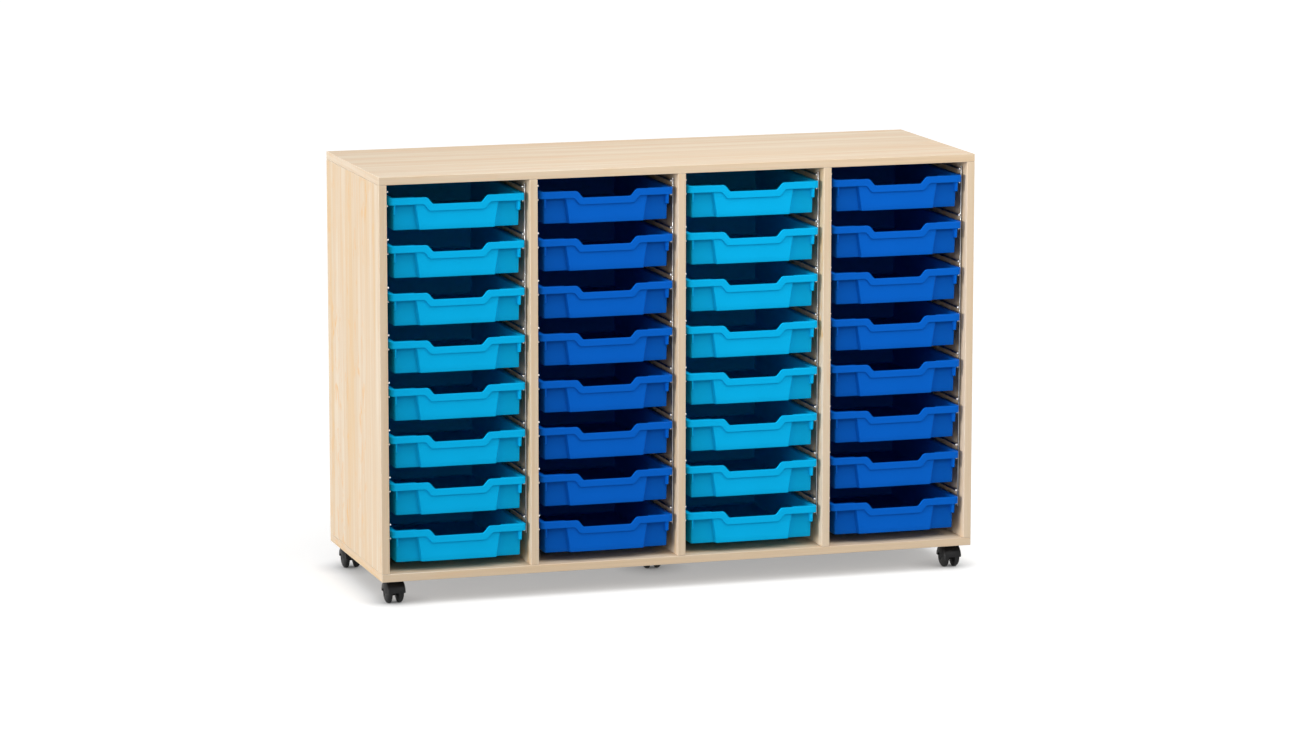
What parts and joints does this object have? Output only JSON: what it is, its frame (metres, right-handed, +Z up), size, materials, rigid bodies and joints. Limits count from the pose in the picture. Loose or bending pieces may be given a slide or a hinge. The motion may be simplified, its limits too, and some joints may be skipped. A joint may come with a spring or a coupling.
{
  "type": "classroom tray storage unit",
  "caption": "Wide mobile cabinet of pale maple board on twin-wheel castors, its open front filled with columns of shallow cyan and blue plastic trays that slide on chromed wire runners.",
  "frame": {"origin": "on the floor, under the middle of the cabinet", "axes": "+X along the cabinet's width, to the right seen from the open front; +Y towards the back; +Z up"},
  "size_m": [1.402, 0.488, 0.967],
  "materials": {
    "maple_board": "satin maple-effect board",
    "back_board": "matt maple-effect back board",
    "cyan_plastic": "moulded, semi-gloss",
    "blue_plastic": "moulded, semi-gloss",
    "chromed_wire": "bright zinc or chrome plate",
    "black_nylon": "moulded, fine texture",
    "wheel_tread": "moulded, worn matt tread"
  },
  "bodies": {
    "cabinet": {"base_panel": "maple_board", "top_panel": "maple_board", "side_panel_left": "maple_board", "side_panel_right": "maple_board", "divider_1": "maple_board", "divider_2": "maple_board", "divider_3": "maple_board", "back_panel": "back_board", "runner_c1_left": "chromed_wire", "runner_c1_right": "chromed_wire", "runner_c2_left": "chromed_wire", "runner_c2_right": "chromed_wire", "runner_c3_left": "chromed_wire", "runner_c3_right": "chromed_wire", "runner_c4_left": "chromed_wire", "runner_c4_right": "chromed_wire"},
    "castor_front_left_swivel": {"castor_front_left_hood": "black_nylon"},
    "castor_front_left_rollers": {"castor_front_left_wheels": "wheel_tread"},
    "castor_front_right_swivel": {"castor_front_right_hood": "black_nylon"},
    "castor_front_right_rollers": {"castor_front_right_wheels": "wheel_tread"},
    "castor_back_left_swivel": {"castor_back_left_hood": "black_nylon"},
    "castor_back_left_rollers": {"castor_back_left_wheels": "wheel_tread"},
    "castor_back_right_swivel": {"castor_back_right_hood": "black_nylon"},
    "castor_back_right_rollers": {"castor_back_right_wheels": "wheel_tread"},
    "castor_centre_swivel": {"castor_centre_hood": "black_nylon"},
    "castor_centre_rollers": {"castor_centre_wheels": "wheel_tread"},
    "pull_out_tray_c1_r1": {"tray_c1_r1": "cyan_plastic"},
    "pull_out_tray_c1_r2": {"tray_c1_r2": "cyan_plastic"},
    "pull_out_tray_c1_r3": {"tray_c1_r3": "cyan_plastic"},
    "pull_out_tray_c1_r4": {"tray_c1_r4": "cyan_plastic"},
    "pull_out_tray_c1_r5": {"tray_c1_r5": "cyan_plastic"},
    "pull_out_tray_c1_r6": {"tray_c1_r6": "cyan_plastic"},
    "pull_out_tray_c1_r7": {"tray_c1_r7": "cyan_plastic"},
    "pull_out_tray_c1_r8": {"tray_c1_r8": "cyan_plastic"},
    "pull_out_tray_c2_r1": {"tray_c2_r1": "blue_plastic"},
    "pull_out_tray_c2_r2": {"tray_c2_r2": "blue_plastic"},
    "pull_out_tray_c2_r3": {"tray_c2_r3": "blue_plastic"},
    "pull_out_tray_c2_r4": {"tray_c2_r4": "blue_plastic"},
    "pull_out_tray_c2_r5": {"tray_c2_r5": "blue_plastic"},
    "pull_out_tray_c2_r6": {"tray_c2_r6": "blue_plastic"},
    "pull_out_tray_c2_r7": {"tray_c2_r7": "blue_plastic"},
    "pull_out_tray_c2_r8": {"tray_c2_r8": "blue_plastic"},
    "pull_out_tray_c3_r1": {"tray_c3_r1": "cyan_plastic"},
    "pull_out_tray_c3_r2": {"tray_c3_r2": "cyan_plastic"},
    "pull_out_tray_c3_r3": {"tray_c3_r3": "cyan_plastic"},
    "pull_out_tray_c3_r4": {"tray_c3_r4": "cyan_plastic"},
    "pull_out_tray_c3_r5": {"tray_c3_r5": "cyan_plastic"},
    "pull_out_tray_c3_r6": {"tray_c3_r6": "cyan_plastic"},
    "pull_out_tray_c3_r7": {"tray_c3_r7": "cyan_plastic"},
    "pull_out_tray_c3_r8": {"tray_c3_r8": "cyan_plastic"},
    "pull_out_tray_c4_r1": {"tray_c4_r1": "blue_plastic"},
    "pull_out_tray_c4_r2": {"tray_c4_r2": "blue_plastic"},
    "pull_out_tray_c4_r3": {"tray_c4_r3": "blue_plastic"},
    "pull_out_tray_c4_r4": {"tray_c4_r4": "blue_plastic"},
    "pull_out_tray_c4_r5": {"tray_c4_r5": "blue_plastic"},
    "pull_out_tray_c4_r6": {"tray_c4_r6": "blue_plastic"},
    "pull_out_tray_c4_r7": {"tray_c4_r7": "blue_plastic"},
    "pull_out_tray_c4_r8": {"tray_c4_r8": "blue_plastic"}
  },
  "joints": [
    {"name": "castor_front_left_turn", "type": "hinge", "parent": "cabinet", "child": "castor_front_left_swivel", "pos_m": [-0.664, -0.188, 0.056], "axis": [0, 0, 1], "continuous": true},
    {"name": "castor_front_left_roll", "type": "hinge", "parent": "castor_front_left_swivel", "child": "castor_front_left_rollers", "pos_m": [-0.664, -0.2, 0.025], "axis": [1, 0, 0], "continuous": true},
    {"name": "castor_front_right_turn", "type": "hinge", "parent": "cabinet", "child": "castor_front_right_swivel", "pos_m": [0.664, -0.188, 0.056], "axis": [0, 0, 1], "continuous": true},
    {"name": "castor_front_right_roll", "type": "hinge", "parent": "castor_front_right_swivel", "child": "castor_front_right_rollers", "pos_m": [0.664, -0.2, 0.025], "axis": [1, 0, 0], "continuous": true},
    {"name": "castor_back_left_turn", "type": "hinge", "parent": "cabinet", "child": "castor_back_left_swivel", "pos_m": [-0.664, 0.188, 0.056], "axis": [0, 0, 1], "continuous": true},
    {"name": "castor_back_left_roll", "type": "hinge", "parent": "castor_back_left_swivel", "child": "castor_back_left_rollers", "pos_m": [-0.664, 0.2, 0.025], "axis": [1, 0, 0], "continuous": true},
    {"name": "castor_back_right_turn", "type": "hinge", "parent": "cabinet", "child": "castor_back_right_swivel", "pos_m": [0.664, 0.188, 0.056], "axis": [0, 0, 1], "continuous": true},
    {"name": "castor_back_right_roll", "type": "hinge", "parent": "castor_back_right_swivel", "child": "castor_back_right_rollers", "pos_m": [0.664, 0.2, 0.025], "axis": [1, 0, 0], "continuous": true},
    {"name": "castor_centre_turn", "type": "hinge", "parent": "cabinet", "child": "castor_centre_swivel", "pos_m": [0, 0, 0.056], "axis": [0, 0, 1], "continuous": true},
    {"name": "castor_centre_roll", "type": "hinge", "parent": "castor_centre_swivel", "child": "castor_centre_rollers", "pos_m": [0, -0.012, 0.025], "axis": [1, 0, 0], "continuous": true},
    {"name": "tray_c1_r1_slide", "type": "slide", "parent": "cabinet", "child": "pull_out_tray_c1_r1", "axis": [0, -1, 0], "range_m": [0, 0.32]},
    {"name": "tray_c1_r2_slide", "type": "slide", "parent": "cabinet", "child": "pull_out_tray_c1_r2", "axis": [0, -1, 0], "range_m": [0, 0.32]},
    {"name": "tray_c1_r3_slide", "type": "slide", "parent": "cabinet", "child": "pull_out_tray_c1_r3", "axis": [0, -1, 0], "range_m": [0, 0.32]},
    {"name": "tray_c1_r4_slide", "type": "slide", "parent": "cabinet", "child": "pull_out_tray_c1_r4", "axis": [0, -1, 0], "range_m": [0, 0.32]},
    {"name": "tray_c1_r5_slide", "type": "slide", "parent": "cabinet", "child": "pull_out_tray_c1_r5", "axis": [0, -1, 0], "range_m": [0, 0.32]},
    {"name": "tray_c1_r6_slide", "type": "slide", "parent": "cabinet", "child": "pull_out_tray_c1_r6", "axis": [0, -1, 0], "range_m": [0, 0.32]},
    {"name": "tray_c1_r7_slide", "type": "slide", "parent": "cabinet", "child": "pull_out_tray_c1_r7", "axis": [0, -1, 0], "range_m": [0, 0.32]},
    {"name": "tray_c1_r8_slide", "type": "slide", "parent": "cabinet", "child": "pull_out_tray_c1_r8", "axis": [0, -1, 0], "range_m": [0, 0.32]},
    {"name": "tray_c2_r1_slide", "type": "slide", "parent": "cabinet", "child": "pull_out_tray_c2_r1", "axis": [0, -1, 0], "range_m": [0, 0.32]},
    {"name": "tray_c2_r2_slide", "type": "slide", "parent": "cabinet", "child": "pull_out_tray_c2_r2", "axis": [0, -1, 0], "range_m": [0, 0.32]},
    {"name": "tray_c2_r3_slide", "type": "slide", "parent": "cabinet", "child": "pull_out_tray_c2_r3", "axis": [0, -1, 0], "range_m": [0, 0.32]},
    {"name": "tray_c2_r4_slide", "type": "slide", "parent": "cabinet", "child": "pull_out_tray_c2_r4", "axis": [0, -1, 0], "range_m": [0, 0.32]},
    {"name": "tray_c2_r5_slide", "type": "slide", "parent": "cabinet", "child": "pull_out_tray_c2_r5", "axis": [0, -1, 0], "range_m": [0, 0.32]},
    {"name": "tray_c2_r6_slide", "type": "slide", "parent": "cabinet", "child": "pull_out_tray_c2_r6", "axis": [0, -1, 0], "range_m": [0, 0.32]},
    {"name": "tray_c2_r7_slide", "type": "slide", "parent": "cabinet", "child": "pull_out_tray_c2_r7", "axis": [0, -1, 0], "range_m": [0, 0.32]},
    {"name": "tray_c2_r8_slide", "type": "slide", "parent": "cabinet", "child": "pull_out_tray_c2_r8", "axis": [0, -1, 0], "range_m": [0, 0.32]},
    {"name": "tray_c3_r1_slide", "type": "slide", "parent": "cabinet", "child": "pull_out_tray_c3_r1", "axis": [0, -1, 0], "range_m": [0, 0.32]},
    {"name": "tray_c3_r2_slide", "type": "slide", "parent": "cabinet", "child": "pull_out_tray_c3_r2", "axis": [0, -1, 0], "range_m": [0, 0.32]},
    {"name": "tray_c3_r3_slide", "type": "slide", "parent": "cabinet", "child": "pull_out_tray_c3_r3", "axis": [0, -1, 0], "range_m": [0, 0.32]},
    {"name": "tray_c3_r4_slide", "type": "slide", "parent": "cabinet", "child": "pull_out_tray_c3_r4", "axis": [0, -1, 0], "range_m": [0, 0.32]},
    {"name": "tray_c3_r5_slide", "type": "slide", "parent": "cabinet", "child": "pull_out_tray_c3_r5", "axis": [0, -1, 0], "range_m": [0, 0.32]},
    {"name": "tray_c3_r6_slide", "type": "slide", "parent": "cabinet", "child": "pull_out_tray_c3_r6", "axis": [0, -1, 0], "range_m": [0, 0.32]},
    {"name": "tray_c3_r7_slide", "type": "slide", "parent": "cabinet", "child": "pull_out_tray_c3_r7", "axis": [0, -1, 0], "range_m": [0, 0.32]},
    {"name": "tray_c3_r8_slide", "type": "slide", "parent": "cabinet", "child": "pull_out_tray_c3_r8", "axis": [0, -1, 0], "range_m": [0, 0.32]},
    {"name": "tray_c4_r1_slide", "type": "slide", "parent": "cabinet", "child": "pull_out_tray_c4_r1", "axis": [0, -1, 0], "range_m": [0, 0.32]},
    {"name": "tray_c4_r2_slide", "type": "slide", "parent": "cabinet", "child": "pull_out_tray_c4_r2", "axis": [0, -1, 0], "range_m": [0, 0.32]},
    {"name": "tray_c4_r3_slide", "type": "slide", "parent": "cabinet", "child": "pull_out_tray_c4_r3", "axis": [0, -1, 0], "range_m": [0, 0.32]},
    {"name": "tray_c4_r4_slide", "type": "slide", "parent": "cabinet", "child": "pull_out_tray_c4_r4", "axis": [0, -1, 0], "range_m": [0, 0.32]},
    {"name": "tray_c4_r5_slide", "type": "slide", "parent": "cabinet", "child": "pull_out_tray_c4_r5", "axis": [0, -1, 0], "range_m": [0, 0.32]},
    {"name": "tray_c4_r6_slide", "type": "slide", "parent": "cabinet", "child": "pull_out_tray_c4_r6", "axis": [0, -1, 0], "range_m": [0, 0.32]},
    {"name": "tray_c4_r7_slide", "type": "slide", "parent": "cabinet", "child": "pull_out_tray_c4_r7", "axis": [0, -1, 0], "range_m": [0, 0.32]},
    {"name": "tray_c4_r8_slide", "type": "slide", "parent": "cabinet", "child": "pull_out_tray_c4_r8", "axis": [0, -1, 0], "range_m": [0, 0.32]}
  ]
}
